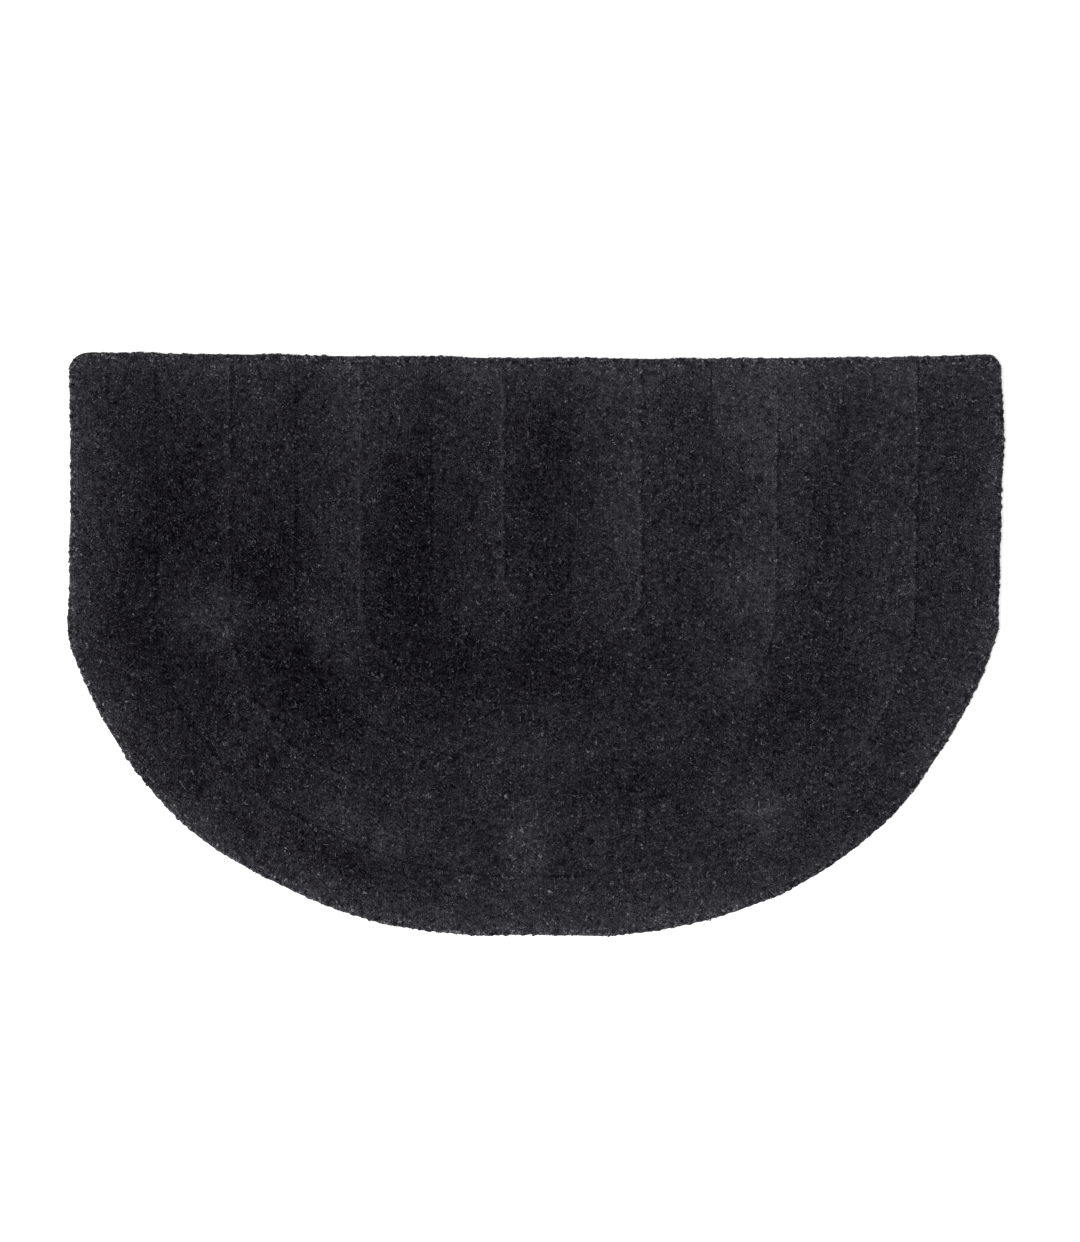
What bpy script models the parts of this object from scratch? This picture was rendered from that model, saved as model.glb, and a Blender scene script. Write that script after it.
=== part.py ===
"""Half moon hearth rug: a thick cut pile sculpted in nested U bands, lying flat.

Metres. Its straight edge is at +Y, its round edge at -Y, its pile up at +Z, and its underside is z = 0.
"""

import math
from collections import namedtuple

import bmesh
import bpy

MM = 0.001

# The two heights of the sculpted pile, at a band's middle and at its edges.
HIGH_MIDDLE = 14.5 * MM
HIGH_EDGE = 13.4 * MM
LOW_MIDDLE = 10.0 * MM
LOW_EDGE = 10.6 * MM
STEP_WIDTH = 4.5 * MM

# The rim, where the pile leans out and comes down to the backing.
RIM_HEIGHT = 3.5 * MM
RIM_ROUND = 12.0 * MM
CORNER_RADIUS = {-1: 22.0 * MM, 1: 20.0 * MM}

# Mesh steps: columns run across the bands, from the straight edge round to the bottom.
LEG_COLUMNS = 6
ARC_COLUMNS = 22
RIM_STEPS = (0.0, 1.0 * MM, 3.2 * MM, 6.8 * MM, RIM_ROUND, 24.0 * MM)
CROWN_SHARES = (0.18, 0.5, 0.82)
WELD_DISTANCE = 0.05 * MM

# Each line of the pattern is a U: two legs down from the straight edge, then a superellipse arc.
# overhang is how much wider than the legs the arc's full curve is, which makes the rim's blunt shoulders.
Line = namedtuple("Line", "half_width overhang arc_centre bottom fullness high_inside")
LINES = (
    Line(0.0, 0.0, 282 * MM, 282 * MM, 2.0, None),
    Line(43.5 * MM, 0.0, 270 * MM, 321 * MM, 2.0, True),
    Line(134.5 * MM, 0.0, 301 * MM, 386 * MM, 2.05, False),
    Line(225.5 * MM, 0.0, 312 * MM, 452 * MM, 2.05, True),
    Line(307.5 * MM, 0.0, 312 * MM, 522 * MM, 2.25, False),
    Line(394.0 * MM, 0.0, 312 * MM, 596 * MM, 2.2, True),
    Line(487.0 * MM, 0.0, 312 * MM, 668 * MM, 2.04, False),
    Line(597.0 * MM, 40.5 * MM, 23 * MM, 743 * MM, 2.43, True),
)
RIM = LINES[-1]

# How far the hand-trimmed rim strays outward: place 0 is the straight edge, 1 the shoulder, 2 the bottom.
Stray = namedtuple("Stray", "place left right")
STRAYS = (
    Stray(0.00, -0.5 * MM, 0.0),
    Stray(0.25, -2.0 * MM, 3.5 * MM),
    Stray(0.60, -1.5 * MM, -0.5 * MM),
    Stray(0.90, 0.5 * MM, -3.0 * MM),
    Stray(1.00, 4.0 * MM, -3.5 * MM),
    Stray(1.20, 4.0 * MM, -4.5 * MM),
    Stray(1.40, 3.5 * MM, 0.0),
    Stray(1.60, -3.5 * MM, 1.0 * MM),
    Stray(1.80, 0.0, 2.0 * MM),
    Stray(1.92, 0.5 * MM, 2.0 * MM),
    Stray(2.00, -2.0 * MM, -2.0 * MM),
)
STRAY_TURN = 230 * MM

# How far the straight edge sags below its highest corner, by its share of the half width.
Sag = namedtuple("Sag", "share drop")
SAGS = (
    Sag(-1.0, -4.5 * MM),
    Sag(-0.7, -2.5 * MM),
    Sag(-0.4, 0.0),
    Sag(0.0, 2.5 * MM),
    Sag(0.3, 3.5 * MM),
    Sag(0.7, 2.0 * MM),
    Sag(1.0, -1.5 * MM),
)
SAG_FADE = 120 * MM

PILE_COLOUR = (0.020, 0.019, 0.024, 1.0)
PILE_ROUGHNESS = 0.95

Row = namedtuple("Row", "inner share height from_rim")
Column = namedtuple("Column", "side place from_edge")


def clear_scene():
    for existing in list(bpy.data.objects):
        bpy.data.objects.remove(existing, do_unlink=True)


def make_material(name, colour, roughness):
    material = bpy.data.materials.new(name)
    material.use_nodes = True
    shader = material.node_tree.nodes["Principled BSDF"]
    shader.inputs["Base Color"].default_value = colour
    shader.inputs["Roughness"].default_value = roughness
    return material


def smooth_between(table, at, key, value):
    """A table's value at a place, eased from one row to the next."""
    rows = sorted(table, key=key)
    if at <= key(rows[0]):
        return value(rows[0])
    for before, after in zip(rows, rows[1:]):
        if at <= key(after):
            share = (at - key(before)) / (key(after) - key(before))
            eased = share * share * (3 - 2 * share)
            return value(before) + eased * (value(after) - value(before))
    return value(rows[-1])


def band_width(inner):
    """A band's width between its legs."""
    return LINES[inner + 1].half_width - LINES[inner].half_width


def arc_start(line):
    """The angle on a line's arc where its leg meets it."""
    if not line.overhang:
        return 0.0
    across = (line.half_width / (line.half_width + line.overhang)) ** line.fullness
    return math.atan2(math.sqrt(1 - across), math.sqrt(across))


def arc_point(line, place):
    """Distance from the middle line and depth below the straight edge; place runs from 1 to 2."""
    start = arc_start(line)
    angle = start + (place - 1) * (math.pi / 2 - start)
    power = 2 / line.fullness
    across = (line.half_width + line.overhang) * max(math.cos(angle), 0.0) ** power
    down = (line.bottom - line.arc_centre) * math.sin(angle) ** power
    return across, line.arc_centre + down


def line_point(line, column):
    if column.place >= 1:
        return arc_point(line, column.place)
    if column.from_edge is not None:
        return line.half_width, column.from_edge
    shoulder = arc_point(line, 1.0)[1]
    return line.half_width, RIM_STEPS[-1] + column.place * (shoulder - RIM_STEPS[-1])


def stray_at(column):
    """How far the rim strays outward at a column."""
    table = [(stray.place, stray.left if column.side < 0 else stray.right) for stray in STRAYS]
    return smooth_between(table, column.place, lambda row: row[0], lambda row: row[1])


def round_corner(side, from_side, from_edge):
    """How far a point moves inward and down so that a square corner comes out round."""
    radius = CORNER_RADIUS[side]
    out = radius - from_side
    up = radius - from_edge
    if out <= 0 or up <= 0:
        return 0.0, 0.0
    shrink = max(out, up) / math.hypot(out, up)
    return out * (1 - shrink), up * (1 - shrink)


def rim_fall(height, distance):
    """The pile's height near the rim, where its profile is a quarter round."""
    if distance >= RIM_ROUND:
        return height
    inward = 1 - distance / RIM_ROUND
    return RIM_HEIGHT + (height - RIM_HEIGHT) * math.sqrt(1 - inward * inward)


def row_share(row, inner, outer):
    """Where a row lies between two lines; a rim row keeps its distance from the rim."""
    if row.from_rim is None:
        return row.share
    return 1 - row.from_rim / math.hypot(outer[0] - inner[0], outer[1] - inner[1])


def add_unevenness(column, across, depth, half):
    """A point's place with the rim's stray and the straight edge's sag; half is its row's half width."""
    below = max(0.0, depth - STRAY_TURN)
    reach = max(math.hypot(across, below), MM)
    stray = stray_at(column) * (half / RIM.half_width) ** 2
    x = column.side * (across + stray * across / reach)
    depth += stray * below / reach
    sag = smooth_between(SAGS, x / RIM.half_width, lambda row: row.share, lambda row: row.drop)
    depth += sag * max(0.0, 1 - depth / SAG_FADE)
    return x, -depth


def surface_point(row, column):
    """The pile's surface point where a row along the bands meets a column across them."""
    inner = line_point(LINES[row.inner], column)
    outer = line_point(LINES[row.inner + 1], column)
    share = row_share(row, inner, outer)
    across = inner[0] + share * (outer[0] - inner[0])
    depth = inner[1] + share * (outer[1] - inner[1])
    half = LINES[row.inner].half_width + share * band_width(row.inner)

    from_side = math.inf if row.from_rim is None else row.from_rim
    from_edge = math.inf if column.from_edge is None else column.from_edge
    if column.place < 1:
        move_in, move_down = round_corner(column.side, from_side, from_edge)
        across -= move_in
        depth += move_down
    x, y = add_unevenness(column, across, depth, half)
    return x, y, rim_fall(row.height, min(from_side, from_edge))


def crown_height(inner, share):
    """The pile's height across a band: high bands swell and low ones dip; the innermost is half a band."""
    high = LINES[inner + 1].high_inside
    edge = HIGH_EDGE if high else LOW_EDGE
    middle = HIGH_MIDDLE if high else LOW_MIDDLE
    from_middle = 2 * share - 1 if inner else share
    return middle + from_middle * from_middle * (edge - middle)


def band_rows(inner):
    """The rows of the band between one line and the next; the outermost band ends in the rim's own rows."""
    step = 0.5 * STEP_WIDTH / band_width(inner)
    shares = [step if inner else 0.0, *CROWN_SHARES, 1 - step]
    outermost = inner == len(LINES) - 2
    if outermost:
        shares = [share for share in shares if share <= 0.5]
    rows = [Row(inner, share, crown_height(inner, share), None) for share in shares]
    if outermost:
        for distance in reversed(RIM_STEPS):
            rows.append(Row(inner, 1.0, crown_height(inner, 1 - distance / band_width(inner)), distance))
    return rows


def all_rows():
    return [row for inner in range(len(LINES) - 1) for row in band_rows(inner)]


def half_columns(side):
    """The columns of one half, from the straight edge to the bottom."""
    columns = [Column(side, 0.0, distance) for distance in RIM_STEPS]
    columns += [Column(side, (step + 1) / LEG_COLUMNS, None) for step in range(LEG_COLUMNS)]
    columns += [Column(side, 1 + (step + 1) / ARC_COLUMNS, None) for step in range(ARC_COLUMNS)]
    return columns


def make_surface(mesh, rows, columns):
    """Bend a grid into the nested U rows; the middle row folds together along the rug's middle line."""
    last_row = len(rows) - 1
    last_column = len(columns) - 1
    bmesh.ops.create_grid(mesh, x_segments=last_column, y_segments=last_row, size=0.5)
    for vertex in mesh.verts:
        column = columns[round((vertex.co.x + 0.5) * last_column)]
        row = rows[round((vertex.co.y + 0.5) * last_row)]
        vertex.co = surface_point(row, column)
    bmesh.ops.remove_doubles(mesh, verts=mesh.verts, dist=WELD_DISTANCE)


def close_underneath(mesh):
    """Carry the rim down to the floor and close the flat underside."""
    rim = [edge for edge in mesh.edges if edge.is_boundary]
    wall = bmesh.ops.extrude_edge_only(mesh, edges=rim)["geom"]
    for item in wall:
        if isinstance(item, bmesh.types.BMVert):
            item.co.z = 0.0
    foot = [edge for edge in mesh.edges if edge.is_boundary]
    bmesh.ops.holes_fill(mesh, edges=foot, sides=0)
    bmesh.ops.triangulate(mesh, faces=mesh.faces)
    bmesh.ops.recalc_face_normals(mesh, faces=mesh.faces)


def centre_on_box(mesh):
    xs = [vertex.co.x for vertex in mesh.verts]
    ys = [vertex.co.y for vertex in mesh.verts]
    middle = (-(min(xs) + max(xs)) / 2, -(min(ys) + max(ys)) / 2, 0.0)
    bmesh.ops.translate(mesh, verts=mesh.verts, vec=middle)


def make_rug(collection):
    mesh = bmesh.new()
    columns = half_columns(-1) + half_columns(1)[-2::-1]
    make_surface(mesh, all_rows(), columns)
    close_underneath(mesh)
    centre_on_box(mesh)
    data = bpy.data.meshes.new("rug")
    mesh.to_mesh(data)
    mesh.free()
    rug = bpy.data.objects.new("rug", data)
    data.materials.append(make_material("charcoal_pile", PILE_COLOUR, PILE_ROUGHNESS))
    collection.objects.link(rug)


clear_scene()
half_moon_rug = bpy.data.collections.new("half_moon_rug")
bpy.context.scene.collection.children.link(half_moon_rug)
make_rug(half_moon_rug)
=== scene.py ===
import math
import bmesh
import bpy
import numpy as np
from mathutils.kdtree import KDTree
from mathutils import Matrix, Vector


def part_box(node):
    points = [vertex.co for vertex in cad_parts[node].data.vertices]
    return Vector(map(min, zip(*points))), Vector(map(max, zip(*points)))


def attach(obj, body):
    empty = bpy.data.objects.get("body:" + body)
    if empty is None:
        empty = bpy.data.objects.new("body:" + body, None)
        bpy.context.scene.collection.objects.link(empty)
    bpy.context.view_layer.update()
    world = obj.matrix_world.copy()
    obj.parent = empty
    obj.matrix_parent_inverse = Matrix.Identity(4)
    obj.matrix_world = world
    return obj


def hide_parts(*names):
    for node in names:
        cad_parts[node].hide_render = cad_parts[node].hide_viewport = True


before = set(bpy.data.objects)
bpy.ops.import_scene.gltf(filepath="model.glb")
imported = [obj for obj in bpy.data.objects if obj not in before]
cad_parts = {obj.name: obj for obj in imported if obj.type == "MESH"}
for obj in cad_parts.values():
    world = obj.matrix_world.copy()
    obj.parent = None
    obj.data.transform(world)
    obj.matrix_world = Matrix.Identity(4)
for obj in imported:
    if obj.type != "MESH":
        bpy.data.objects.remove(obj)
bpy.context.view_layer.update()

mm = 0.001
rng = np.random.default_rng(11)

# the rug's plan and its sculpted pile (mm), with the same sizes as the solid, apart from two: the rim's
# stray is read more finely, and the carved lines lie a little further in, as they look from above
rugPlan = {
    # nested U lines from the middle out to the rim:
    # half width, overhang at the shoulders, centre of the arc, bottom, fullness of the arc
    "lines": [
        (0.0, 0.0, 282, 282, 2.0),
        (43.5, 0.0, 270, 321, 2.0),
        (134.5, 0.0, 301, 386, 2.05),
        (225.5, 0.0, 312, 452, 2.05),
        (307.5, 0.0, 312, 522, 2.25),
        (394.0, 0.0, 312, 596, 2.2),
        (487.0, 0.0, 312, 668, 2.04),
        (597.0, 40.5, 23, 743, 2.43),
    ],
    "bandIsHigh": [True, False, True, False, True, False, True],
    "highMiddle": 14.5,
    "highEdge": 13.4,
    "lowMiddle": 10.0,
    "lowEdge": 10.6,
    "stepWidth": 4.5,
    "wobble": (1.3, 62.0, 1.2),  # how far the carved lines wander, over what length, how far in they lie
    "levelFrom": 560,  # how far out the pile turns level, up to the rim's own fall
    "rimHeight": 3.5,
    "rimRound": 12.0,
    "cornerRadius": (22.0, 20.0),  # left, right
    "edgeZone": 24.0,  # the part of each leg beside the straight edge
    # how far the hand-trimmed rim strays outward:
    # place (0 straight edge, 1 shoulder, 2 bottom), left, right
    "stray": [
        (0.00, -0.5, 0.0),
        (0.25, -2.0, 3.5),
        (0.60, -1.5, -0.5),
        (0.90, 0.0, -3.0),
        (0.98, 0.8, -3.5),
        (1.00, 2.2, -3.5),
        (1.03, 5.5, -3.2),
        (1.08, 4.2, -3.5),
        (1.20, 4.0, -4.5),
        (1.40, 3.5, 0.0),
        (1.60, -3.5, 1.0),
        (1.80, 0.0, 2.0),
        (1.92, 0.5, 2.0),
        (2.00, -2.0, -2.0),
    ],
    "shoulderDepth": 330,
    "strayTurn": 230,  # the depth where the stray starts to turn from sideways to downward
    # how far the straight edge sags: share of the half width, drop
    "sag": [(-1.0, -4.5), (-0.7, -2.5), (-0.4, 0.0), (0.0, 2.5), (0.3, 3.5), (0.7, 2.0), (1.0, -1.5)],
    "sagFade": 120,  # the depth where the sag has died out
}
halfWidth, overhang, arcCentre, bottom, fullness = np.array(rugPlan["lines"], float).T
legWidth = np.diff(halfWidth)
lastBand = len(legWidth) - 1
bandEdge = np.where(rugPlan["bandIsHigh"], rugPlan["highEdge"], rugPlan["lowEdge"])
bandMiddle = np.where(rugPlan["bandIsHigh"], rugPlan["highMiddle"], rugPlan["lowMiddle"])


def readTable(table, at, column=1):
    # a table's value at each place, eased from row to row
    keys = np.array([row[0] for row in table], float)
    values = np.array([row[column] for row in table], float)
    row = np.clip(np.searchsorted(keys, at, side="right") - 1, 0, len(keys) - 2)
    t = np.clip((at - keys[row]) / (keys[row + 1] - keys[row]), 0, 1)
    return values[row] + t * t * (3 - 2 * t) * (values[row + 1] - values[row])


def linePoint(line, place):
    # distance from the middle line and depth below the straight edge
    # place is 0 to 1 down the leg and 1 to 2 round the arc
    full = halfWidth[line] + overhang[line]
    cut = np.where(overhang[line] > 0, (halfWidth[line] / np.maximum(full, 1)) ** fullness[line], 1.0)
    start = np.arctan2(np.sqrt(1 - cut), np.sqrt(cut))
    angle = start + np.clip(place - 1, 0, 1) * (math.pi / 2 - start)
    power = 2 / fullness[line]
    across = full * np.maximum(np.cos(angle), 0) ** power
    depth = arcCentre[line] + (bottom[line] - arcCentre[line]) * np.sin(angle) ** power
    inLeg = place < 1
    return np.where(inLeg, halfWidth[line], across), depth * np.where(inLeg, place, 1)


def planPoint(band, share, along):
    # x, y and the distance to the rim, for a share of a band's width and a place along it
    # along runs 0 to 4: down the left leg, round the arc and up the right leg
    side = np.where(along < 2, -1.0, 1.0)
    place = np.where(along < 2, along, 4 - along)
    innerAcross, innerDepth = linePoint(band, place)
    outerAcross, outerDepth = linePoint(band + 1, place)
    across = innerAcross + share * (outerAcross - innerAcross)
    depth = innerDepth + share * (outerDepth - innerDepth)
    width = np.hypot(outerAcross - innerAcross, outerDepth - innerDepth)
    fromSide = np.where(band == lastBand, (1 - share) * width, 999.0)
    fromEdge = np.where(place < 1, depth, 999.0)
    toRim = np.minimum(fromSide, fromEdge)

    # round corners beside the straight edge
    radius = np.where(side < 0, *rugPlan["cornerRadius"])
    out = np.maximum(radius - fromSide, 0)
    up = np.maximum(radius - fromEdge, 0)
    inCorner = (out > 0) & (up > 0)
    shrink = np.where(inCorner, np.maximum(out, up) / np.maximum(np.hypot(out, up), 1e-6), 1)
    across = across - out * (1 - shrink)
    depth = depth + up * (1 - shrink)

    # the rim's stray and the straight edge's sag
    zone = rugPlan["edgeZone"]
    leg = np.clip((fromEdge - zone) / (rugPlan["shoulderDepth"] - zone), 0, 1)
    strayPlace = np.where(place < 1, leg, place)
    leftStray, rightStray = (readTable(rugPlan["stray"], strayPlace, column) for column in (1, 2))
    stray = np.where(side < 0, leftStray, rightStray)
    stray = stray * ((halfWidth[band] + share * legWidth[band]) / halfWidth[-1]) ** 2
    below = np.maximum(depth - rugPlan["strayTurn"], 0)
    reach = np.maximum(np.hypot(across, below), 1)
    x = side * (across + stray * across / reach)
    depth = depth + stray * below / reach
    sag = readTable(rugPlan["sag"], x / halfWidth[-1])
    depth = depth + sag * np.maximum(1 - depth / rugPlan["sagFade"], 0)
    return x, -depth, toRim


def wander(x, y, size, seed):
    # smooth random waves of about this size, from -1 to 1
    draw = np.random.default_rng(seed)
    total = np.zeros(x.shape)
    for _ in range(7):
        angle, phase = draw.uniform(0, 2 * math.pi, 2)
        wave = 2 * math.pi / (size * draw.uniform(0.7, 1.6))
        total += np.sin((x * math.cos(angle) + y * math.sin(angle)) * wave + phase)
    return total / 7 ** 0.5 / 1.4


def wobbled(band, share, x, y):
    # the band and share that carving by hand puts at a place
    reach, size, inward = rugPlan["wobble"]
    planned = halfWidth[band] + share * legWidth[band]
    across = planned + reach * wander(x, y, size, 31) + inward
    across = np.where(planned > rugPlan["levelFrom"], rugPlan["levelFrom"], across)
    across = np.clip(across, 0, halfWidth[-1])
    carved = np.clip(np.searchsorted(halfWidth, across, side="right") - 1, 0, lastBand)
    return carved, (across - halfWidth[carved]) / legWidth[carved]


def pileHeight(band, share):
    # high bands swell, low ones dip, and the pile steps softly from one to the next
    fromMiddle = np.where(band == 0, share, 2 * share - 1)
    height = bandMiddle[band] + fromMiddle**2 * (bandEdge[band] - bandMiddle[band])
    step = rugPlan["stepWidth"] / 2 / legWidth[band]
    nextBand = np.minimum(band + 1, lastBand)
    near = np.clip(1 - (1 - share) / step, 0, 1) ** 1.5
    height = height + near * (bandEdge[nextBand] - bandEdge[band]) / 2
    near = np.where(band > 0, np.clip(1 - share / step, 0, 1) ** 1.5, 0)
    return height + near * (bandEdge[np.maximum(band - 1, 0)] - bandEdge[band]) / 2


def rimFall(height, toRim, roundness, foot):
    # the pile falls in a quarter round to its foot at the rim
    inward = 1 - np.clip(toRim / roundness, 0, 1)
    return foot + (height - foot) * np.sqrt(1 - inward**2)


def pileTop(band, share, along):
    # the surface that the pile's tips make
    x, y, toRim = planPoint(band, share, along)
    height = pileHeight(*wobbled(band, share, x, y))
    z = rimFall(height, toRim, rugPlan["rimRound"], rugPlan["rimHeight"])
    return np.stack([x, y, z], -1), toRim


outwardShare = 0.02  # the share of a band's width over which its outward direction is taken


def outwardOf(band, share, along):
    # how far right the outward direction points, -1 to 1, and how far the plan reaches over outwardShare
    x1, y1, _ = planPoint(band, np.minimum(share + outwardShare / 2, 1), along)
    x0, y0, _ = planPoint(band, np.maximum(share - outwardShare / 2, 0), along)
    reach = np.maximum(np.hypot(x1 - x0, y1 - y0), 1e-6)
    return (x1 - x0) / reach, reach


def rimLoop():
    # the outline, anticlockwise seen from above, with the pile's height just inside it
    along = np.linspace(0, 4, 3001)
    band = np.full(along.shape, lastBand)
    x, y, _ = planPoint(band, np.ones(along.shape), along)
    height = pileHeight(band, np.full(along.shape, 0.88))
    half = np.linspace(halfWidth[-1], 0, 1501)[1:]
    edgeBand = np.clip(np.searchsorted(halfWidth, half, side="right") - 1, 0, lastBand)
    edgeShare = (half - halfWidth[edgeBand]) / legWidth[edgeBand]
    rightX, rightY, _ = planPoint(edgeBand, edgeShare, np.full(half.shape, 4.0))
    leftX, leftY, _ = planPoint(edgeBand, edgeShare, np.zeros(half.shape))
    edgeHeight = pileHeight(edgeBand, edgeShare)
    x = np.concatenate([x, rightX, leftX[-2::-1]])
    y = np.concatenate([y, rightY, leftY[-2::-1]])
    height = np.concatenate([height, edgeHeight, edgeHeight[-2::-1]])
    return np.stack([x, y], -1), height


outline, outlineHeight = rimLoop()
# the plan lies where the solid's right side and straight edge are
solidHigh = np.array(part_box("rug")[1])
shiftToFrame = np.array([*(solidHigh[:2] / mm - outline.max(0)), 0.0])
closed = np.vstack([outline, outline[:1]])


def toFrame(points):
    return (points + shiftToFrame) * mm


def hexColour(code):
    # sRGB hex to linear
    parts = [int(code[i : i + 2], 16) / 255 for i in (1, 3, 5)]
    return [c / 12.92 if c <= 0.04045 else ((c + 0.055) / 1.055) ** 2.4 for c in parts] + [1.0]


def addNode(tree, kind, settings=None, inputs=None):
    # inputs are values, or (node, output) pairs to link
    node = tree.nodes.new(kind)
    for name, value in (settings or {}).items():
        setattr(node, name, value)
    for name, value in (inputs or {}).items():
        if isinstance(value, tuple) and isinstance(value[0], bpy.types.Node):
            tree.links.new(value[0].outputs[value[1]], node.inputs[name])
        else:
            node.inputs[name].default_value = value
    return node


def newMaterial(name):
    material = bpy.data.materials.new(name)
    material.use_nodes = True
    tree = material.node_tree
    return material, tree, tree.nodes["Principled BSDF"]


def fillRamp(node, stops):
    ramp = node.color_ramp
    while len(ramp.elements) > 1:
        ramp.elements.remove(ramp.elements[-1])
    ramp.elements[0].position = stops[0][0]
    ramp.elements[0].color = hexColour(stops[0][1])
    for position, code in stops[1:]:
        ramp.elements.new(position).color = hexColour(code)


# dyed wool, tufted and cut: matt charcoal, painted darker at the roots as shade deep in the pile, and a soft
# bloom at low angles;
# no specular, because a fibre mass scatters its light, and spikes would glint at their steep sides
wool = {
    "tones": [
        (0.0, "#020105"),
        (0.2, "#131216"),
        (0.4, "#27262b"),
        (0.6, "#3b3a3f"),
        (0.8, "#555459"),
        (1.0, "#89888c"),
    ],
    "roughness": 0.9,
    "specular": 0.0,
    "sheen": 0.02,
    "sheenRoughness": 0.45,
    "sheenTint": "#c9c8d0",
    "fibreSize": 0.4,  # mm; real wool is 0.03 mm thick, drawn this coarse so that it shows
    "fibreDepth": 0.3,  # mm, and so is the next
    "yarnDepth": 0.8,
}
# the cut ends themselves, whose yarns are geometry, so that no yarn pattern is drawn on them
cutEnds = {"fibreTone": 0.15, "fibreBump": 0.5, "yarnPitch": 0}
# the same wool packed round their roots, with the yarns' round sides between and painted shade in the gaps
# between the yarns (mm)
packedRoots = {
    "fibreTone": 0.22,
    "fibreBump": 0.8,
    "yarnPitch": 1.7,
    "yarnGapPaintedShade": 0.34,
    "yarnBump": 0.7,
    "tuftPitch": 4.0,
    "tuftTone": 0.14,
}


def makeWool(name, plan):
    material, tree, shader = newMaterial(name)
    # the tone attribute carries random tone and painted light and shade
    tone = addNode(tree, "ShaderNodeAttribute", {"attribute_name": "tone"})
    place = addNode(tree, "ShaderNodeTexCoord")
    fibre = addNode(
        tree,
        "ShaderNodeTexNoise",
        inputs={
            "Vector": (place, "Object"),
            "Scale": 1 / (wool["fibreSize"] * mm),
            "Detail": 3.0,
            "Roughness": 0.6,
        },
    )
    uneven = addNode(
        tree,
        "ShaderNodeMapRange",
        inputs={
            "Value": (fibre, "Fac"),
            "From Min": 0.3,
            "From Max": 0.7,
            "To Min": -plan["fibreTone"],
            "To Max": plan["fibreTone"],
        },
    )
    mixed = addNode(tree, "ShaderNodeMath", {"operation": "ADD"}, {0: (tone, "Fac"), 1: (uneven, "Result")})
    bump = addNode(
        tree,
        "ShaderNodeBump",
        inputs={
            "Height": (fibre, "Fac"),
            "Strength": plan["fibreBump"],
            "Distance": wool["fibreDepth"] * mm,
        },
    )
    if plan["yarnPitch"]:
        yarns = addNode(
            tree,
            "ShaderNodeTexVoronoi",
            inputs={"Vector": (place, "Object"), "Scale": 1 / (plan["yarnPitch"] * mm)},
        )
        # painted shade, darker toward the gaps between the yarns
        yarnGapShade = addNode(
            tree,
            "ShaderNodeMapRange",
            inputs={"Value": (yarns, "Distance"), "From Max": 0.8, "To Max": -plan["yarnGapPaintedShade"]},
        )
        mixed = addNode(tree, "ShaderNodeMath", {"operation": "ADD"}, {0: (mixed, 0), 1: (yarnGapShade, "Result")})
        tufts = addNode(
            tree,
            "ShaderNodeTexVoronoi",
            inputs={"Vector": (place, "Object"), "Scale": 1 / (plan["tuftPitch"] * mm)},
        )
        own = addNode(
            tree,
            "ShaderNodeMapRange",
            inputs={"Value": (tufts, "Color"), "To Min": -plan["tuftTone"], "To Max": plan["tuftTone"]},
        )
        mixed = addNode(tree, "ShaderNodeMath", {"operation": "ADD"}, {0: (mixed, 0), 1: (own, "Result")})
        bump = addNode(
            tree,
            "ShaderNodeBump",
            {"invert": True},
            {
                "Height": (yarns, "Distance"),
                "Strength": plan["yarnBump"],
                "Distance": wool["yarnDepth"] * mm,
                "Normal": (bump, "Normal"),
            },
        )
    ramp = addNode(tree, "ShaderNodeValToRGB", inputs={"Fac": (mixed, 0)})
    fillRamp(ramp, wool["tones"])
    tree.links.new(ramp.outputs["Color"], shader.inputs["Base Color"])
    tree.links.new(bump.outputs["Normal"], shader.inputs["Normal"])
    shader.inputs["Roughness"].default_value = wool["roughness"]
    shader.inputs["Specular IOR Level"].default_value = wool["specular"]
    shader.inputs["Sheen Weight"].default_value = wool["sheen"]
    shader.inputs["Sheen Roughness"].default_value = wool["sheenRoughness"]
    shader.inputs["Sheen Tint"].default_value = hexColour(wool["sheenTint"])
    return material


# cotton backing cloth, plain woven and coated with latex:
# dull olive grey, with the threads' ridges under the coat (mm)
backingCloth = {
    "thread": "#4b493f",
    "gap": "#35332c",
    "threadSpacing": 1.4,
    "threadDepth": 0.4,
    "roughness": 0.8,
}


def makeBackingCloth():
    material, tree, shader = newMaterial("coatedCottonBacking")
    place = addNode(tree, "ShaderNodeTexCoord")
    # a wave's bands lie 2 pi / (20 x scale) apart
    scale = 1 / (backingCloth["threadSpacing"] * mm) / 20 * 2 * math.pi
    wave = {
        "Vector": (place, "Object"),
        "Scale": scale,
        "Distortion": 0.6,
        "Detail": 1.0,
        "Detail Scale": 2.0,
    }
    warp = addNode(tree, "ShaderNodeTexWave", {"bands_direction": "X"}, wave)
    weft = addNode(tree, "ShaderNodeTexWave", {"bands_direction": "Y"}, wave)
    weave = addNode(tree, "ShaderNodeMath", {"operation": "MAXIMUM"}, {0: (warp, "Fac"), 1: (weft, "Fac")})
    ramp = addNode(tree, "ShaderNodeValToRGB", inputs={"Fac": (weave, 0)})
    fillRamp(ramp, [(0.3, backingCloth["gap"]), (0.9, backingCloth["thread"])])
    depth = backingCloth["threadDepth"] * mm
    bump = addNode(tree, "ShaderNodeBump", inputs={"Height": (weave, 0), "Strength": 0.5, "Distance": depth})
    tree.links.new(ramp.outputs["Color"], shader.inputs["Base Color"])
    tree.links.new(bump.outputs["Normal"], shader.inputs["Normal"])
    shader.inputs["Roughness"].default_value = backingCloth["roughness"]
    return material


woolPileMaterial = makeWool("dyedWoolCutPile", cutEnds)
woolGroundMaterial = makeWool("dyedWoolPileGround", packedRoots)
backingMaterial = makeBackingCloth()
print("materials made")
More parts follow.
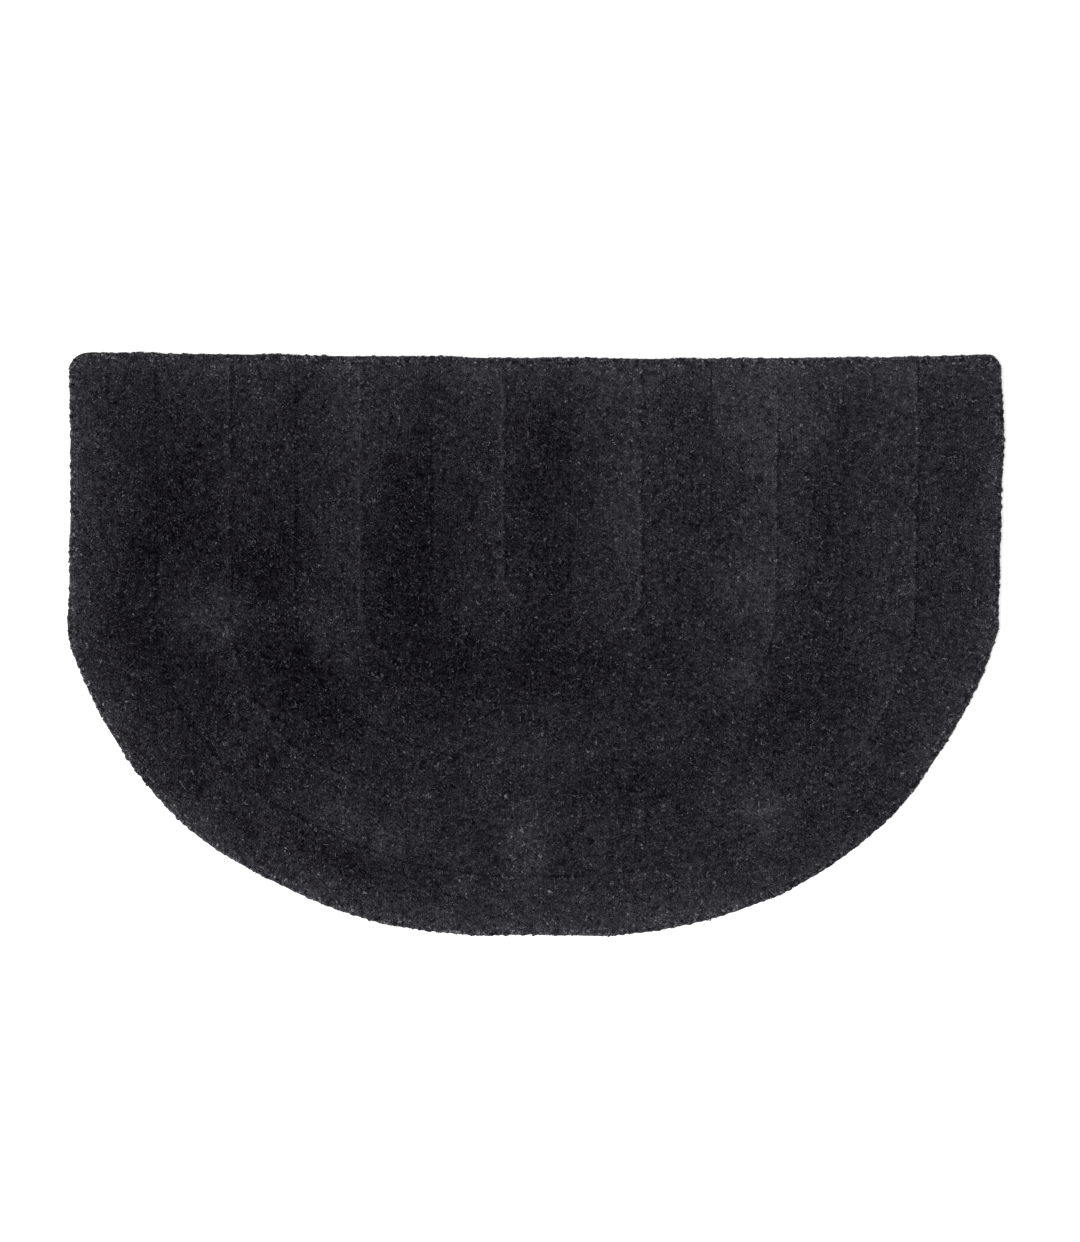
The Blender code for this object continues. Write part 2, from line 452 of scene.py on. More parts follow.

# how light the pile looks over the rug as a whole, mostly painted light and shade: painted sheen where the
# rim's fanned tufts show their sides, lighter to the right, painted shade on one side of each band (1.0 runs
# from black to the palest wool; mm)
shade = {
    "rimPaintedSheen": 0.175,
    "rimReach": 30,
    "rightLighter": 0.04,
    "rightAt": 600,
    "patches": [(0.02, 60, 3), (0.015, 24, 4)],  # how much lighter, over what length, seed
    # painted shade of the bands under light from the left: the low bands' dished pile lighter toward the
    # right, the high bands' crowned pile darker
    "lowBandPaintedShade": (0.02, 0.026),  # lighter all over, lighter toward the right
    "highBandPaintedShade": (-0.005, -0.015),
    # painted highlight on the cut edges that face the light: how much lighter at places from left to right
    "stepPaintedHighlight": [
        (-394, 0.05),
        (-300, 0.09),
        (-225, 0.07),
        (-175, 0.16),
        (-110, 0.12),
        (-43, 0.075),
        (134, 0.10),
        (307, 0.065),
        (400, 0.14),
        (487, 0.10),
    ],
    # painted shadow in the parting behind the lit edges' tufts
    "stepPartingShadow": -0.14,  # the parting that their tufts leave behind them
    # painted light on the edges that face away, easing their shadow: how much lighter the high side and the
    # low side turn
    "shadedStepPaintedLight": (0.0, 0.035),
    "stepBroken": (0.8, 0.35, 30),  # carving by hand: mean strength, how much it varies, over what length
    "partingAt": 3.2,  # from the step, on its high side
    "crestAt": 1.2,
    "litReach": 2.6,
    "shadedReach": 3,
    "paintedStrokeShade": 1.3,  # how strongly the strokes below count
    "ragged": [(13, 42), (13 / 3, 13)],  # how far their edges stray, over what length
}
# painted shade and sheen where the pile was stroked and leans toward or away from the light: x and depth
# from the middle of the straight edge, reach along and across the stroke (mm), its turn (degrees), how much
# lighter
paintedStrokeShade = [
    (-395, 330, 50, 20, 0, 0.08),
    (278, 288, 38, 26, -20, 0.085),
    (265, 410, 22, 20, 0, 0.07),
    (286, 583, 22, 16, 60, 0.12),
    (-12, 628, 38, 20, 80, 0.085),
    (0, 505, 48, 20, 0, 0.05),
    (272, 80, 40, 46, 0, 0.055),
    (-276, 90, 14, 60, 0, -0.05),
    (-65, 210, 22, 50, 0, -0.03),
    (-215, 95, 46, 30, 0, 0.045),
    (-272, 345, 18, 36, -30, 0.05),
    (-215, 612, 70, 18, 20, 0.06),
    (110, 150, 24, 90, 0, 0.03),
    (470, 560, 42, 34, 0, -0.035),
    (0, 400, 420, 80, 0, -0.025),
    (60, 700, 200, 30, 0, 0.02),
    (-425, 415, 56, 34, 30, -0.055),
    (-150, 425, 60, 28, 20, -0.05),
    (395, 612, 76, 26, -35, -0.05),
    (-520, 340, 30, 34, 0, -0.05),
    (345, 90, 26, 60, 0, 0.06),
    (-415, 90, 28, 60, 0, -0.03),
    (-452, 190, 38, 60, 0, -0.075),
    (-345, 275, 42, 44, 0, -0.085),
    (-295, 420, 58, 28, 55, -0.08),
    (-160, 200, 38, 90, 0, -0.07),
    (-165, 320, 48, 48, 0, -0.05),
    (-90, 390, 60, 22, 0, -0.04),
    (5, 120, 40, 52, 0, -0.045),
    (15, 260, 34, 80, 0, -0.05),
    (-480, 245, 55, 24, 0, -0.04),
    (545, 170, 40, 140, 0, -0.03),
    (-572, 190, 20, 150, 0, 0.02),
    (120, 548, 46, 24, 0, -0.06),
    (345, 455, 70, 45, 0, -0.04),
    (-250, 640, 90, 16, 22, -0.06),
    (-315, 512, 26, 26, 0, -0.045),
    (-492, 530, 22, 34, -50, -0.05),
    (30, 405, 60, 30, 0, -0.04),
    (375, 190, 24, 70, 0, -0.03),
]


def strokePaintedShade(x, y):
    # the painted shade and sheen of the stroked pile
    tone = np.zeros(x.shape)
    # a hand's strokes have ragged edges
    for seed, (reach, size) in zip((21, 23), shade["ragged"]):
        x, y = x + reach * wander(x, y, size, seed), y + reach * wander(x, y, size, seed + 1)
    for centreX, depth, reachAlong, reachAcross, turn, lighter in paintedStrokeShade:
        turn = math.radians(turn)
        right, down = x - centreX, -y - depth
        along = (right * math.cos(turn) + down * math.sin(turn)) / reachAlong
        across = (down * math.cos(turn) - right * math.sin(turn)) / reachAcross
        tone += lighter * np.exp(-0.5 * (along**2 + across**2))
    return tone * shade["paintedStrokeShade"]


def broadToneAndPaintedShade(band, share, along, x, y, toRim):
    # the rug's broad tone at any place on it: random patches, lighter to the right, and painted light and
    # shade of the rim, the bands, the carved steps and the stroked pile
    tone = strokePaintedShade(x, y)
    for lighter, size, seed in shade["patches"]:
        tone = tone + lighter * wander(x, y, size, seed)
    # painted sheen near the rim, where the fanned tufts show their sides
    tone += shade["rimPaintedSheen"] * np.exp(-toRim / shade["rimReach"])
    tone += shade["rightLighter"] * x / shade["rightAt"]
    facing, _ = outwardOf(band, share, along)
    band, share = wobbled(band, share, x, y)
    high = np.array(rugPlan["bandIsHigh"])[band]
    # painted shade across each band, as the light from the left falls on its dish or crown
    lighter = np.where(high, shade["highBandPaintedShade"][0], shade["lowBandPaintedShade"][0])
    lighterRight = np.where(high, shade["highBandPaintedShade"][1], shade["lowBandPaintedShade"][1])
    fromMiddle = np.where(band == 0, share, 2 * share - 1)
    tone += (lighter + fromMiddle * facing * lighterRight) * facing**2
    strength, varies, size = shade["stepBroken"]
    broken = strength + varies * wander(x, y, size, 34)
    stepPaintedHighlight = readTable(shade["stepPaintedHighlight"], x)
    for outerLine in (True, False):
        distance = np.where(outerLine, 1 - share, share) * legWidth[band]
        noStep = band == (lastBand if outerLine else 0)
        distance = np.where(noStep, 999, distance)
        # a step faces outward on a high band's outer line, and inward on its inner one
        faces = np.where(high == outerLine, facing, -facing)
        lit = np.maximum(-faces, 0) ** 0.8
        # painted shadow just behind a step that faces the light, on its high side
        fromParting = (distance - shade["partingAt"]) / shade["litReach"]
        partingShadow = broken * shade["stepPartingShadow"] * np.exp(-(fromParting**2))
        tone += np.where(high, lit * partingShadow, 0)
        fromCrest = distance + np.where(high, shade["crestAt"], -shade["crestAt"])
        # painted highlight along the crest of a step that faces the light
        tone += lit * broken * stepPaintedHighlight * np.exp(-((fromCrest / shade["litReach"]) ** 2))
        # painted light that eases the shadow at steps facing away from the light
        shaded = np.where(high, *shade["shadedStepPaintedLight"]) * np.exp(-((distance / shade["shadedReach"]) ** 2))
        tone += np.maximum(faces, 0) ** 2 * shaded
    return tone


# the mat: the backing cloth and the roots of the pile on it (mm)
mat = {
    "rowStep": 5.5,
    "columnStep": 6.5,
    "legLength": 340,  # of the rug's side edge and half its round edge, about
    "arcLength": 930,
    # the rows and columns beside the rim, by their distance to it, and the share of the last band
    # where these rows take over
    "rimSteps": (2.9, 3.6, 4.5, 5.8, 7.5, 9.5, 12.0, 15.0, 19.0, 24.0),
    "rimShare": 0.72,
    "tipsAbove": 2.8,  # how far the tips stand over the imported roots
    "tone": 0.44,
    "backing": 1.2,
    "flange": 2.4,  # how far the backing's edge reaches past the roots
    "overRim": 0.2,
}


def addPiece(name, mesh, *materials):
    piece = bpy.data.objects.new(name, mesh)
    bpy.context.scene.collection.objects.link(piece)
    for material in materials:
        mesh.materials.append(material)
    return piece


def matRows():
    # band, share and distance to the rim (or none) of each row, with extra rows at the steps and the rim
    rows = []
    for band in range(lastBand + 1):
        step = rugPlan["stepWidth"] / 2 / legWidth[band]
        steps = [0.5 * step, step]
        count = round(legWidth[band] / mat["rowStep"])
        middle = list(np.linspace(step, 1 - step, count)[1:-1])
        shares = [0.0] + steps + middle
        if band < lastBand:
            shares += [1 - step, 1 - 0.5 * step]
        rows += [(band, share, None) for share in shares if band < lastBand or share < mat["rimShare"]]
    for toRim in (*mat["rimSteps"][::-1], mat["flange"], -mat["overRim"]):
        rows.append((lastBand, 1.0, toRim))
    return rows


def matColumns():
    # places along, denser beside the straight edge
    near = [-mat["overRim"], mat["flange"], *mat["rimSteps"][:-1]]
    legs = list(np.arange(mat["rimSteps"][-1], mat["legLength"], mat["columnStep"]))
    left = [depth / mat["legLength"] for depth in near + legs]
    left += list(np.linspace(1, 2, round(mat["arcLength"] / mat["columnStep"])))
    return np.array(left + [4 - place for place in left[-2::-1]])


def borderOf(body):
    # the corners of the open edge, in order
    neighbours = {}
    for edge in body.edges:
        if edge.is_boundary:
            for vertex in edge.verts:
                neighbours.setdefault(vertex, []).append(edge.other_vert(vertex))
    first = min(neighbours, key=lambda vertex: tuple(vertex.co))
    border = [first, neighbours[first][0]]
    while len(border) < len(neighbours):
        border.append(next(vertex for vertex in neighbours[border[-1]] if vertex != border[-2]))
    return border


def makeMat():
    rows, columns = matRows(), matColumns()
    rounded = rugPlan["rimRound"] - mat["flange"]
    grid, tones = [], []
    for band, share, toRim in rows:
        bands = np.full(columns.shape, band)
        shares = np.full(columns.shape, share)
        if toRim is not None:
            place = np.where(columns < 2, columns, 4 - columns)
            inner, outer = linePoint(bands, place), linePoint(bands + 1, place)
            shares = 1 - toRim / np.hypot(outer[0] - inner[0], outer[1] - inner[1])
        x, y, distance = planPoint(bands, shares, columns)
        height = pileHeight(*wobbled(bands, np.minimum(shares, 0.9), x, y)) - mat["tipsAbove"]
        z = rimFall(height, distance - mat["flange"], rounded, mat["backing"])
        grid.append(np.stack([x, y, z], -1))
        # the roots take the same random tone and painted light and shade as the pile
        tone = broadToneAndPaintedShade(bands, np.clip(shares, 0, 1), columns, x, y, np.maximum(distance, 0))
        tones.append(mat["tone"] + tone)
    grid = toFrame(np.array(grid))
    body = bmesh.new()
    toneLayer = body.verts.layers.float.new("tone")
    vertices = [[body.verts.new(point) for point in row] for row in grid]
    for row, rowTones in zip(vertices, tones):
        for vertex, tone in zip(row, rowTones):
            vertex[toneLayer] = tone
    for row, nextRow in zip(vertices, vertices[1:]):
        for i in range(len(row) - 1):
            body.faces.new((row[i], nextRow[i], nextRow[i + 1], row[i + 1]))
    bmesh.ops.remove_doubles(body, verts=body.verts, dist=0.05 * mm)
    # the backing's cut edge down to the floor, and the flat underside
    border = borderOf(body)
    feet = [body.verts.new((vertex.co.x, vertex.co.y, 0)) for vertex in border]
    for i in range(len(border)):
        feet[i][toneLayer] = border[i][toneLayer]
        body.faces.new((border[i - 1], border[i], feet[i], feet[i - 1]))
    body.faces.new(feet)
    bmesh.ops.recalc_face_normals(body, faces=body.faces)
    for face in body.faces:
        face.smooth = True
        isBacking = max(vertex.co.z for vertex in face.verts) < (mat["backing"] + 0.1) * mm
        face.material_index = 1 if isBacking else 0
    bmesh.ops.triangulate(body, faces=[face for face in body.faces if len(face.verts) > 4])
    mesh = bpy.data.meshes.new("rug_mat")
    body.to_mesh(mesh)
    body.free()
    return addPiece("rug_mat", mesh, woolGroundMaterial, backingMaterial)


matPiece = makeMat()
print("mat made: %d faces" % len(matPiece.data.polygons))

# the pile: cut wool tufts of a few yarn ends each, every end a closed spike (mm)
pile = {
    "spacing": 2.0,  # between yarn ends
    "tuftEnds": (3, 1),  # yarn ends in a tuft, the long way and the short way
    "tuftDrift": (1.6, 19),  # how far the tufts' rows drift, in ends, and over what length
    "gather": 0.35,  # how far a tuft's ends draw together
    "crown": 0.5,  # how much shorter the ends at a tuft's rim are
    # painted shade on the shorter ends at a tuft's rim, which sit lower between the tufts
    "crownPaintedShade": 0.10,
    "endRadius": 1.4,
    "radiusSpread": (0.75, 1.2),  # least and most, as a share
    "length": 4.6,
    "lengthSpread": 0.45,
    "tuftLengthSpread": 0.35,
    "lengthLimits": (-1.6, 0.9),
    "lean": 0.26,
    "tuftLean": 0.2,
    "nap": (0.06, -0.10),  # the whole pile lies a little to the right and toward the round edge
    "tone": 0.464,
    "toneSpread": 0.06,
    "tuftToneSpread": 0.162,
    "mottle": 0.045,
    "mottleSize": 8,
    # painted shade deep in the pile, darkening each spike toward its root
    "rootPaintedShade": 0.62,  # a spike's root as a share of its tip
    "paleEnds": 0.006,  # the share of ends with undyed fibres
    "paleTone": (0.65, 0.35),  # the least of such an end, and the most that comes on top
    "lowest": 0.15,  # over the floor
}


def setTones(mesh, tones):
    values = tones.reshape(-1).astype(np.float32)
    mesh.attributes.new("tone", "FLOAT", "POINT").data.foreach_set("value", values)


def spikeMesh(name, tips, axes, length, radius, tone):
    # one closed three-sided spike for each tip
    count = len(tips)
    axes = axes / np.linalg.norm(axes, axis=1, keepdims=True)
    side = np.cross(axes, [0.0, 0.0, 1.0]) + [1e-4, 0, 0]
    side /= np.linalg.norm(side, axis=1, keepdims=True)
    other = np.cross(axes, side)
    turn = rng.uniform(0, 2 * math.pi, count)
    points = np.empty((count, 4, 3))
    root = tips - axes * length[:, None]
    for k in range(3):
        angle = (turn + k * 2 * math.pi / 3)[:, None]
        points[:, k] = root + radius[:, None] * (np.cos(angle) * side + np.sin(angle) * other)
    points[:, 3] = tips
    points[:, :, 2] = np.maximum(points[:, :, 2], pile["lowest"])
    mesh = bpy.data.meshes.new(name)
    corners = np.array([[0, 1, 3], [1, 2, 3], [2, 0, 3], [2, 1, 0]])
    faces = (np.arange(count)[:, None, None] * 4 + corners).reshape(-1, 3)
    mesh.vertices.add(count * 4)
    mesh.vertices.foreach_set("co", toFrame(points).reshape(-1))
    mesh.loops.add(len(faces) * 3)
    mesh.loops.foreach_set("vertex_index", faces.reshape(-1).astype(np.int32))
    mesh.polygons.add(len(faces))
    mesh.polygons.foreach_set("loop_start", np.arange(0, len(faces) * 3, 3, dtype=np.int32))
    mesh.update(calc_edges=True)
    tones = np.repeat(tone[:, None], 4, axis=1)
    # painted shade at the roots, deep in the pile
    tones[:, :3] *= pile["rootPaintedShade"]
    setTones(mesh, tones)
    # uv map for baking: one cell a yarn end, so that each keeps its own tone
    across = math.ceil(math.sqrt(count))
    cell = np.stack([np.arange(count) % across, np.arange(count) // across], -1) / across
    face = np.array([[0.1, 0.2], [0.9, 0.2], [0.5, 0.95]])
    base = np.array([[0.1, 0.02], [0.9, 0.02], [0.5, 0.15]])
    inCell = np.stack([face, face, face, base]) / across
    uv = cell[:, None, None, :] + inCell[None]
    mesh.uv_layers.new(name="OFBake").data.foreach_set("uv", uv.reshape(-1).astype(np.float32))
    return addPiece(name, mesh, woolPileMaterial)


def surfaceUnder(x, y):
    # the pile's height over any points, and how far inside the plan they are, from the nearest of samples
    # 4 mm apart; a point more than 5 mm from all of them is off the rug
    along = np.linspace(0, 4, 900)
    sampled = []
    for band in range(lastBand + 1):
        for share in np.linspace(0, 1, round(legWidth[band] / 4)):
            tops, toRim = pileTop(np.full(along.shape, band), np.full(along.shape, share), along)
            sampled.append(np.column_stack([tops, np.minimum(toRim, 60)]))
    sampled = np.concatenate(sampled)
    tree = KDTree(len(sampled))
    for i, (sampleX, sampleY, _, _) in enumerate(sampled):
        tree.insert((sampleX, sampleY, 0), i)
    tree.balance()
    nearest = np.array([tree.find((a, b, 0))[1:] for a, b in zip(x, y)])
    index, distance = nearest[:, 0].astype(int), nearest[:, 1]
    return sampled[index, 2], np.where(distance < 5, sampled[index, 3], 0)


def surfaceNormals(band, share, along):
    # from points 0.8 mm away across the band, and about 1 mm away along it
    small = 0.8
    up, _ = pileTop(band, np.minimum(share + small / legWidth[band], 1), along)
    down, _ = pileTop(band, np.maximum(share - small / legWidth[band], 0), along)
    ahead, _ = pileTop(band, share, along + 0.003)
    behind, _ = pileTop(band, share, along - 0.003)
    normal = np.cross(up - down, ahead - behind)
    size = np.linalg.norm(normal, axis=1, keepdims=True)
    normal = np.where(size > 1e-6, normal / np.maximum(size, 1e-6), [0.0, 0.0, 1.0])
    return normal * np.where(normal[:, 2:] < 0, -1, 1)


def bandEnds(band):
    # yarn ends in uneven rows along a band; rows that crowd together on the arc are thinned
    spacing = pile["spacing"]
    count = max(2, round(legWidth[band] / spacing))
    found = []
    finePlaces = np.linspace(0, 4, 801)
    bands = np.full(finePlaces.shape, band)
    # the rows on a step's slope are doubled, because it is longer than its plan
    rows = list(range(count)) + [0] * (band > 0) + [count - 1] * (band < lastBand)
    for k in rows:
        x, y, _ = planPoint(bands, np.full(finePlaces.shape, (k + 0.5) / count), finePlaces)
        length = np.concatenate([[0], np.cumsum(np.hypot(np.diff(x), np.diff(y)))])
        n = int(length[-1] / spacing)
        column = np.arange(n)
        along = np.interp((column + rng.uniform(0.05, 0.95, n)) * spacing, length, finePlaces)
        share = np.clip((k + rng.uniform(-0.1, 1.1, n)) / count, 0.001, 0.999)
        _, reach = outwardOf(np.full(n, band), share, along)
        keep = rng.uniform(0, 1, n) < reach / outwardShare / count / spacing
        found.append(np.stack([share, along])[:, keep])
    return np.concatenate(found, axis=1)


def tuftOf(x, y):
    # a number for the tuft that each end is in: the tufts lie now one way, now the other, in uneven rows
    # the count of ends starts far enough off the rug that no number is negative
    start, cells = 400, 401
    long, short = pile["tuftEnds"]
    drift, size = pile["tuftDrift"]
    right = x / pile["spacing"] + drift * wander(x, y, size, 41) + start
    down = y / pile["spacing"] + drift * wander(x, y, size, 42) + start
    column, row = (right // long).astype(int), (down // long).astype(int)
    turned = rng.uniform(0, 1, (cells, cells))[row % cells, column % cells] < 0.5
    part = np.where(turned, right, down) % long // short
    return (row * cells + column) * long + part


def spread(size, shape):
    # random amounts of about this size, none of them far out
    return np.clip(rng.normal(0, size, shape), -2 * size, 2 * size)


def endTones(tone, tuft):
    # one lightness a yarn end, from the broad shade down to the tuft's own and the end's own
    names, member = np.unique(tuft, return_inverse=True)
    tone = tone + pile["tone"] + rng.normal(0, pile["toneSpread"], len(tuft))
    tone += rng.normal(0, pile["tuftToneSpread"], len(names))[member]
    isPale = rng.uniform(0, 1, len(tuft)) < pile["paleEnds"]
    least, more = pile["paleTone"]
    return np.where(isPale, least + more * rng.uniform(0, 1, len(tuft)) ** 2, np.clip(tone, 0.02, 1))


def mottleTone(x, y):
    return pile["mottle"] * wander(x, y, pile["mottleSize"], 5)


def gatherEnds(points, axes, tuft):
    # a tuft's ends draw together, lean together and were cut together
    names, member = np.unique(tuft, return_inverse=True)
    sizes = np.bincount(member)
    middles = np.stack([np.bincount(member, points[:, i]) / sizes for i in range(3)], -1)
    fromMiddle = np.linalg.norm(points - middles[member], axis=1)
    points = points + pile["gather"] * (middles[member] - points)
    axes = axes + spread(pile["tuftLean"], (len(names), 3))[member] * [1, 1, 0]
    fall = np.clip(fromMiddle / pile["spacing"], 0, 2) ** 2 / 4
    cut = spread(pile["tuftLengthSpread"], len(names))[member] - pile["crown"] * fall
    return points, axes, cut, fall


def makePile():
    found = [bandEnds(band) for band in range(lastBand + 1)]
    band = np.repeat(np.arange(lastBand + 1), [part.shape[1] for part in found])
    share, along = np.concatenate(found, axis=1)
    _, _, toRim = planPoint(band, share, along)
    inside = toRim > rugPlan["rimRound"]
    band, share, along = band[inside], share[inside], along[inside]
    count = len(band)
    tips, toRim = pileTop(band, share, along)
    x, y = tips[:, 0], tips[:, 1]
    tuft = tuftOf(x, y)
    # random tone and painted light and shade for each yarn end
    tone = broadToneAndPaintedShade(band, share, along, x, y, toRim) + mottleTone(x, y)
    normal = surfaceNormals(band, share, along)
    tips, axes, cut, fall = gatherEnds(tips, normal, tuft)
    # painted shade on the lower ends at each tuft's rim
    tone = endTones(tone - pile["crownPaintedShade"] * fall, tuft)
    axes = axes + spread(pile["lean"], (count, 3)) * [1, 1, 0] + [*pile["nap"], 0]
    cut = np.clip(cut + rng.normal(0, pile["lengthSpread"], count), *pile["lengthLimits"])
    tips = tips + normal * cut[:, None]
    length = pile["length"] + cut
    radius = pile["endRadius"] * rng.uniform(*pile["radiusSpread"], count)

    # one piece a band
    pieces = []
    for k in range(lastBand + 1):
        name = "pile_band_%d" % (k + 1)
        parts = (values[band == k] for values in (tips, axes, length, radius, tone))
        pieces.append(spikeMesh(name, *parts))
        print("%s: %d yarn ends" % (name, (band == k).sum()))
    return pieces


# the pile round the rim, which fans out over the backing's edge (mm)
rim = {
    "clumpPitch": 9.0,  # the ends stick out in clumps of about this size, and by this much
    "clumpReach": 1.0,
    "waveLength": 65.0,  # so do longer stretches, from cutting by hand
    "waveReach": 1.1,
    "past": 1.3,  # the tips' mean reach past the backing, because they thin out
    "endRadius": 1.7,
    "lengthShare": 0.85,  # of the pile's length
    "wallHeights": (2.4, 1.0),  # the rows of ends below the pile's foot
}


def makeRimPile():
    spacing = pile["spacing"]
    length = np.concatenate([[0], np.cumsum(np.hypot(*np.diff(closed, axis=0).T))])
    total = length[-1]
    heights = np.append(outlineHeight, outlineHeight[0])
    quarter = np.linspace(0, math.pi / 2, 200)
    roundness, foot = rugPlan["rimRound"], rugPlan["rimHeight"]
    out, down = roundness * np.sin(quarter), (rugPlan["highEdge"] - foot) * np.cos(quarter)
    profile = np.concatenate([[0], np.cumsum(np.hypot(np.diff(out), np.diff(down)))])
    rows = int(profile[-1] / spacing)
    angles = np.interp((np.arange(rows) + 0.5) * spacing, profile, quarter)
    levels = [(angle, None) for angle in angles] + [(math.pi / 2, height) for height in rim["wallHeights"]]
    tips, axes, tufts, toRims = [], [], [], []
    for k, (angle, wallHeight) in enumerate(levels):
        n = int(total / spacing)
        column = np.arange(n)
        at = (column + rng.uniform(0.05, 0.95, n)) * total / n
        angle = np.full(n, angle)
        if wallHeight is None:
            angle = np.clip(angle + rng.uniform(-0.07, 0.07, n), 0, math.pi / 2)
        x, y, height = (np.interp(at, length, values) for values in (*closed.T, heights))
        # which way is out, from the rim 3 mm ahead and behind
        ahead, behind = (
            np.stack([np.interp((at + offset) % total, length, values) for values in closed.T], -1)
            for offset in (3, -3)
        )
        tangent = (ahead - behind) / np.linalg.norm(ahead - behind, axis=1, keepdims=True)
        outward = np.stack([tangent[:, 1], -tangent[:, 0]], -1)
        inset = roundness * (1 - np.sin(angle))
        z = foot + (height - foot) * np.cos(angle)
        if wallHeight is not None:
            z = wallHeight + rng.uniform(-0.5, 0.5, n)
        bumps = rim["clumpReach"] * wander(at, at * 0.7, rim["clumpPitch"], 8)
        bumps += rim["past"] + rim["waveReach"] * wander(at, at * 0.7, rim["waveLength"], 9)
        reach = bumps * np.sin(angle) - inset + rng.normal(0, 0.3, n) * np.sin(angle)
        tips.append(np.stack([x + outward[:, 0] * reach, y + outward[:, 1] * reach, z], -1))
        rise = np.cos(angle) / (height - foot)
        run = np.sin(angle) / roundness
        axes.append(np.stack([outward[:, 0] * run, outward[:, 1] * run, rise], -1))
        # tufts of two rows by two ends
        row = k // 2
        tufts.append(row * n + (column + row % 2) // 2)
        toRims.append(inset)
    tips, axes, tuft, toRim = (np.concatenate(part) for part in (tips, axes, tufts, toRims))
    count = len(tips)
    axes = axes / np.linalg.norm(axes, axis=1, keepdims=True)
    tips, axes, _, _ = gatherEnds(tips, axes, tuft)
    axes = axes + spread(pile["lean"], (count, 3))
    x, y = tips[:, 0], tips[:, 1]
    # painted shade of the strokes and painted sheen at the rim, as on the pile
    tone = strokePaintedShade(x, y) + shade["rimPaintedSheen"] * np.exp(-toRim / shade["rimReach"])
    tone += shade["rightLighter"] * x / shade["rightAt"] + mottleTone(x, y)
    tone = endTones(tone, tuft)
    radius = rim["endRadius"] * rng.uniform(*pile["radiusSpread"], count)
    print("pile_rim: %d yarn ends" % count)
    length = np.full(count, pile["length"] * rim["lengthShare"])
    return spikeMesh("pile_rim", tips, axes, length, radius, tone)


# a few fibres that the shears missed, curled on the pile (mm)
looseFibres = {
    "count": 450,
    "length": (3.0, 8.0),
    "radius": 0.26,
    "curl": 1.2,
    "tone": (0.5, 0.8),
    "fromRim": 8,
}


def makeLooseFibres():
    # each is a curved spindle: two ends, and three rings of three corners between them
    # three times the places are drawn, because some fall outside the rug
    x = rng.uniform(-585, 585, looseFibres["count"] * 3)
    y = rng.uniform(-735, -10, looseFibres["count"] * 3)
    top, fromRim = surfaceUnder(x, y)
    inside = np.flatnonzero(fromRim > looseFibres["fromRim"])[: looseFibres["count"]]
    count = len(inside)
    length = rng.uniform(*looseFibres["length"], count)
    turn = rng.uniform(0, 2 * math.pi, count)
    curl = rng.uniform(-1, 1, count) * looseFibres["curl"]
    points = np.empty((count, 11, 3))
    line = np.stack([x[inside], y[inside], top[inside] + 0.3], -1)
    for step in range(5):
        way = np.stack([np.cos(turn), np.sin(turn), np.zeros(count)], -1)
        side = np.stack([-np.sin(turn), np.cos(turn), np.zeros(count)], -1)
        if step in (0, 4):
            points[:, 0 if step == 0 else 10] = line
        else:
            for k in range(3):
                angle = k * 2 * math.pi / 3
                ring = math.cos(angle) * side + math.sin(angle) * np.array([0, 0, 1.0])
                points[:, 3 * step - 2 + k] = line + looseFibres["radius"] * ring
        line = line + way * (length / 4)[:, None] + [0, 0, 0.25 if step < 2 else -0.25]
        turn = turn + curl / 2
    faces = []
    for k in range(3):
        n = (k + 1) % 3
        faces += [(0, 1 + n, 1 + k), (10, 7 + k, 7 + n)]
        for ring in (1, 4):
            faces += [(ring + k, ring + n, ring + 3 + n), (ring + k, ring + 3 + n, ring + 3 + k)]
    faces = (np.arange(count)[:, None, None] * 11 + np.array(faces)).reshape(-1, 3)
    mesh = bpy.data.meshes.new("loose_fibres")
    mesh.from_pydata(toFrame(points.reshape(-1, 3)).tolist(), [], faces.tolist())
    setTones(mesh, np.repeat(rng.uniform(*looseFibres["tone"], count), 11))
    print("loose_fibres: %d" % count)
    return addPiece("loose_fibres", mesh, woolPileMaterial)


pilePieces = makePile()
pilePieces.append(makeRimPile())
pilePieces.append(makeLooseFibres())
print("pile made: %d triangles" % sum(len(piece.data.polygons) for piece in pilePieces))

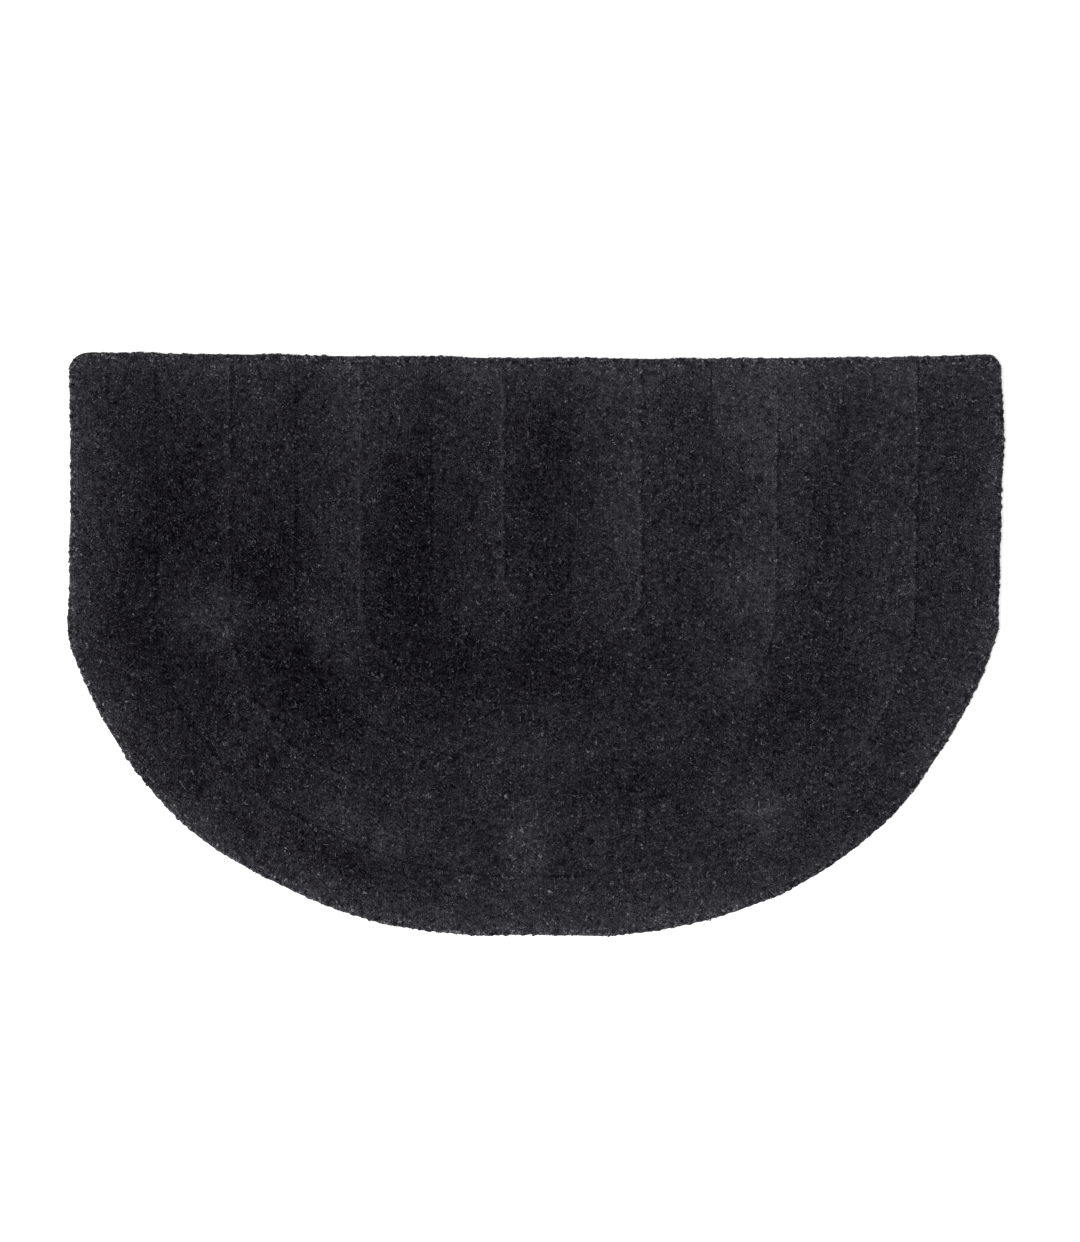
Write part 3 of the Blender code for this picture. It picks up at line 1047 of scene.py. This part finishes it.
# floor, soft light from the left and a camera straight above (m, W)
studio = {
    "floor": "#f4f4f4",
    "worldLight": 0.7,
    "key": {"at": (-4.2, -1.8, 5.2), "size": 3.0, "power": 760},
    "fill": {"at": (1.6, 1.2, 6.0), "size": 4.0, "power": 190},
    "lens": 85,
    "sensor": 36,
    "cameraAt": (0.0061, 0.0298),
    "frameHeight": 1.5907,  # how much of the scene the picture's height takes in
    "frameLevel": 0.004,  # the height over the floor where it does
}


def makeFloor():
    # matt white paint, so that the floor stays plain and takes only the rug's soft shadow
    material, _, shader = newMaterial("mattWhiteFloor")
    shader.inputs["Base Color"].default_value = hexColour(studio["floor"])
    shader.inputs["Roughness"].default_value = 0.9
    shader.inputs["Specular IOR Level"].default_value = 0.1
    bpy.ops.mesh.primitive_plane_add(size=30, location=(0, 0, 0))
    floor = bpy.context.object
    floor.name = "studio_floor"
    floor.data.materials.append(material)


def makeLight(name, at, size, power):
    data = bpy.data.lights.new(name, "AREA")
    data.shape = "DISK"
    data.size = size
    data.energy = power
    light = bpy.data.objects.new(name, data)
    bpy.context.scene.collection.objects.link(light)
    light.location = at
    light.rotation_euler = (-light.location).to_track_quat("-Z", "Y").to_euler()
    light.visible_camera = False


def makeCamera():
    data = bpy.data.cameras.new("camera")
    data.lens = studio["lens"]
    data.sensor_width = studio["sensor"]
    distance = studio["frameHeight"] / 2 * data.lens / (data.sensor_width / 2)
    camera = bpy.data.objects.new("camera", data)
    bpy.context.scene.collection.objects.link(camera)
    camera.location = (*studio["cameraAt"], distance + studio["frameLevel"])
    camera.rotation_euler = (0, 0, 0)
    bpy.context.scene.camera = camera


makeFloor()
makeLight("key_light", **studio["key"])
makeLight("fill_light", **studio["fill"])
world = bpy.data.worlds.new("studio")
world.use_nodes = True
world.node_tree.nodes["Background"].inputs["Color"].default_value = (1, 1, 1, 1)
world.node_tree.nodes["Background"].inputs["Strength"].default_value = studio["worldLight"]
bpy.context.scene.world = world
bpy.context.scene.view_settings.view_transform = "Standard"
makeCamera()
print("studio made")

for piece in [matPiece, *pilePieces]:
    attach(piece, "root")
    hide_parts("rug")
